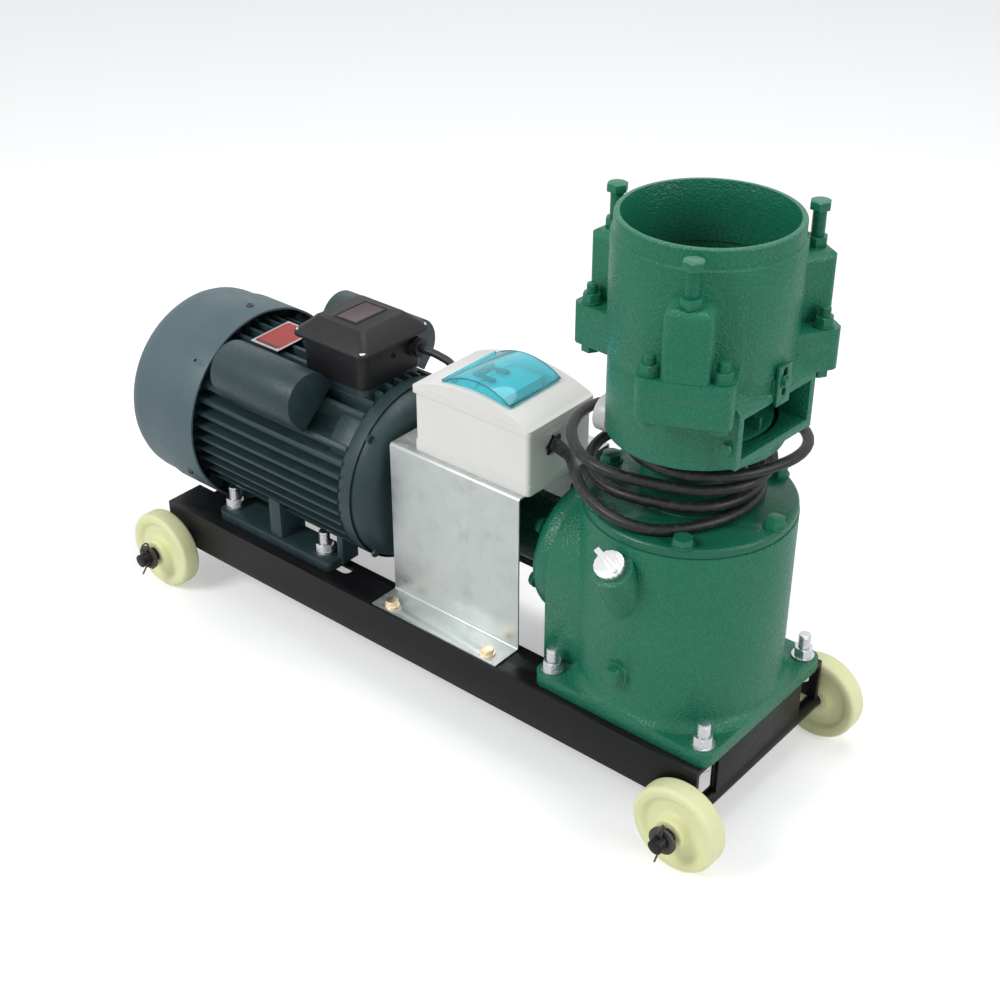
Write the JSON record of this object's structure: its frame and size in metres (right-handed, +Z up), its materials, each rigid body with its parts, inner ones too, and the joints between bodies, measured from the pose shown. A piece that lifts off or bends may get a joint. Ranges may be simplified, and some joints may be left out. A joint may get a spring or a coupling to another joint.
{
  "type": "feed pellet mill",
  "caption": "Electric pellet mill on a wheeled angle-steel frame: finned motor, right-angle gearbox, roller chamber with hopper mouth and side chute, and a breaker box.",
  "frame": {"origin": "on the ground under the middle of the mill's box, measured without the mains lead, its coil and plug", "axes": "+X from the motor to the gearbox, along the rails; +Y away from the side with the filler cap; +Z up"},
  "size_m": [0.8816, 0.348, 0.618],
  "materials": {
    "frame_black": "gloss",
    "wheel_nylon": "satin",
    "pin_steel": "dark",
    "motor_grey": "satin",
    "core_steel": "satin",
    "black_plastic": "satin",
    "zinc": "bright",
    "galvanised": "spangled",
    "yellow_zinc": "bright",
    "white_plastic": "satin",
    "clear_blue": "clear",
    "navy_plastic": "satin",
    "green_paint": "hammered paint",
    "dark_green_paint": "gloss",
    "tool_steel": "ground",
    "red_rubber": "matt",
    "black_rubber": "satin",
    "plug_white": "gloss"
  },
  "bodies": {
    "mill": {"rail_front": "frame_black", "rail_back": "frame_black", "end_plate": "frame_black", "low_cross_member": "frame_black", "axle_gearbox_end": "frame_black", "axle_motor_end": "frame_black", "cotter_pins": "pin_steel", "motor_frame": "motor_grey", "stator_core": "core_steel", "rear_shield": "motor_grey", "front_shield": "motor_grey", "fan_cover": "motor_grey", "capacitor_front": "motor_grey", "capacitor_back": "motor_grey", "terminal_box": "black_plastic", "terminal_cover": "black_plastic", "lifting_eye": "core_steel", "frame_studs": "zinc", "bracket": "galvanised", "bracket_bolts": "yellow_zinc", "breaker_base": "white_plastic", "breaker_cover": "white_plastic", "breaker_block": "white_plastic", "gearbox_housing": "green_paint", "gearbox_cover": "green_paint", "housing_bolts": "green_paint", "input_cap": "green_paint", "input_sleeve": "dark_green_paint", "bearings": "core_steel", "drain_plug": "green_paint", "lower_housing": "green_paint", "hopper": "green_paint", "motor_cable": "black_rubber", "mains_lead": "black_rubber", "mains_coil": "black_rubber", "mains_plug": "plug_white"},
    "wheel_front_right": {"wheel_front_right": "wheel_nylon"},
    "wheel_back_right": {"wheel_back_right": "wheel_nylon"},
    "wheel_front_left": {"wheel_front_left": "wheel_nylon"},
    "wheel_back_left": {"wheel_back_left": "wheel_nylon"},
    "main_drive": {"crown_gear": "core_steel", "main_shaft": "core_steel", "thrower": "tool_steel", "die": "tool_steel"},
    "input_drive": {"motor_rotor": "core_steel", "cooling_fan": "black_plastic", "coupling_halves": "core_steel", "coupling_spider": "red_rubber", "pinion_shaft": "core_steel"},
    "roller_holder": {"roller_holder": "tool_steel"},
    "roller_1": {"roller_1": "tool_steel"},
    "roller_2": {"roller_2": "tool_steel"},
    "roller_3": {"roller_3": "tool_steel"},
    "adjusting_bolt_1": {"adjusting_bolt_1": "green_paint"},
    "adjusting_bolt_2": {"adjusting_bolt_2": "green_paint"},
    "adjusting_bolt_3": {"adjusting_bolt_3": "green_paint"},
    "breaker_lid": {"breaker_lid": "clear_blue"},
    "breaker_toggle": {"breaker_toggle": "navy_plastic"},
    "filler_cap": {"filler_cap": "zinc"},
    "cutter_plate": {"cutter_plate": "green_paint"}
  },
  "joints": [
    {"name": "wheel_front_right_spin", "type": "hinge", "parent": "mill", "child": "wheel_front_right", "pos_m": [0.39225, -0.133, 0.0485], "axis": [0, 1, 0], "continuous": true},
    {"name": "wheel_back_right_spin", "type": "hinge", "parent": "mill", "child": "wheel_back_right", "pos_m": [0.39225, 0.133, 0.0485], "axis": [0, 1, 0], "continuous": true},
    {"name": "wheel_front_left_spin", "type": "hinge", "parent": "mill", "child": "wheel_front_left", "pos_m": [-0.37175, -0.133, 0.0485], "axis": [0, 1, 0], "continuous": true},
    {"name": "wheel_back_left_spin", "type": "hinge", "parent": "mill", "child": "wheel_back_left", "pos_m": [-0.37175, 0.133, 0.0485], "axis": [0, 1, 0], "continuous": true},
    {"name": "main_spin", "type": "hinge", "parent": "mill", "child": "main_drive", "pos_m": [0.29425, 0, 0.3], "axis": [0, 0, 1], "continuous": true},
    {"name": "input_spin", "type": "hinge", "parent": "mill", "child": "input_drive", "pos_m": [-0.00575, 0, 0.2135], "axis": [1, 0, 0], "continuous": true},
    {"name": "holder_lift", "type": "slide", "parent": "mill", "child": "roller_holder", "axis": [0, 0, 1], "range_m": [0, 0.006]},
    {"name": "roller_1_spin", "type": "hinge", "parent": "roller_holder", "child": "roller_1", "pos_m": [0.31604, -0.04389, 0.5103], "axis": [0.4446, -0.8957, 0], "continuous": true},
    {"name": "roller_2_spin", "type": "hinge", "parent": "roller_holder", "child": "roller_2", "pos_m": [0.32137, 0.04081, 0.5103], "axis": [0.5534, 0.8329, 0], "continuous": true},
    {"name": "roller_3_spin", "type": "hinge", "parent": "roller_holder", "child": "roller_3", "pos_m": [0.24535, 0.00308, 0.5103], "axis": [-0.998, 0.0628, 0], "continuous": true},
    {"name": "adjusting_bolt_1_turn", "type": "hinge", "parent": "roller_holder", "child": "adjusting_bolt_1", "pos_m": [0.34165, -0.09548, 0.56], "axis": [0, 0, 1], "range_deg": [0, 1234.29]},
    {"name": "adjusting_bolt_2_turn", "type": "hinge", "parent": "roller_holder", "child": "adjusting_bolt_2", "pos_m": [0.35324, 0.08879, 0.56], "axis": [0, 0, 1], "range_deg": [0, 1234.29]},
    {"name": "adjusting_bolt_3_turn", "type": "hinge", "parent": "roller_holder", "child": "adjusting_bolt_3", "pos_m": [0.18786, 0.00669, 0.56], "axis": [0, 0, 1], "range_deg": [0, 1234.29]},
    {"name": "lid_hinge", "type": "hinge", "parent": "mill", "child": "breaker_lid", "pos_m": [0.02725, -0.019, 0.38467], "axis": [0, -1, 0], "range_deg": [0, 100]},
    {"name": "breaker_switch", "type": "hinge", "parent": "mill", "child": "breaker_toggle", "pos_m": [0.04725, -0.017, 0.37969], "axis": [0, 1, 0], "range_deg": [0, 40]},
    {"name": "filler_cap_turn", "type": "hinge", "parent": "mill", "child": "filler_cap", "pos_m": [0.28905, -0.12, 0.2993], "axis": [0, -0.5, 0.866], "range_deg": [0, 720]},
    {"name": "cutter_slide", "type": "slide", "parent": "mill", "child": "cutter_plate", "axis": [0, 0, 1], "range_m": [-0.01, 0.01]}
  ],
  "couplings": [
    {"joint": "input_spin", "follows": "main_spin", "ratio": -3},
    {"joint": "roller_1_spin", "follows": "main_spin", "ratio": 1.6333},
    {"joint": "roller_2_spin", "follows": "main_spin", "ratio": 1.6333},
    {"joint": "roller_3_spin", "follows": "main_spin", "ratio": 1.6333},
    {"joint": "adjusting_bolt_1_turn", "follows": "holder_lift", "rad_per_m": 3590.4},
    {"joint": "adjusting_bolt_2_turn", "follows": "holder_lift", "rad_per_m": 3590.4},
    {"joint": "adjusting_bolt_3_turn", "follows": "holder_lift", "rad_per_m": 3590.4}
  ]
}
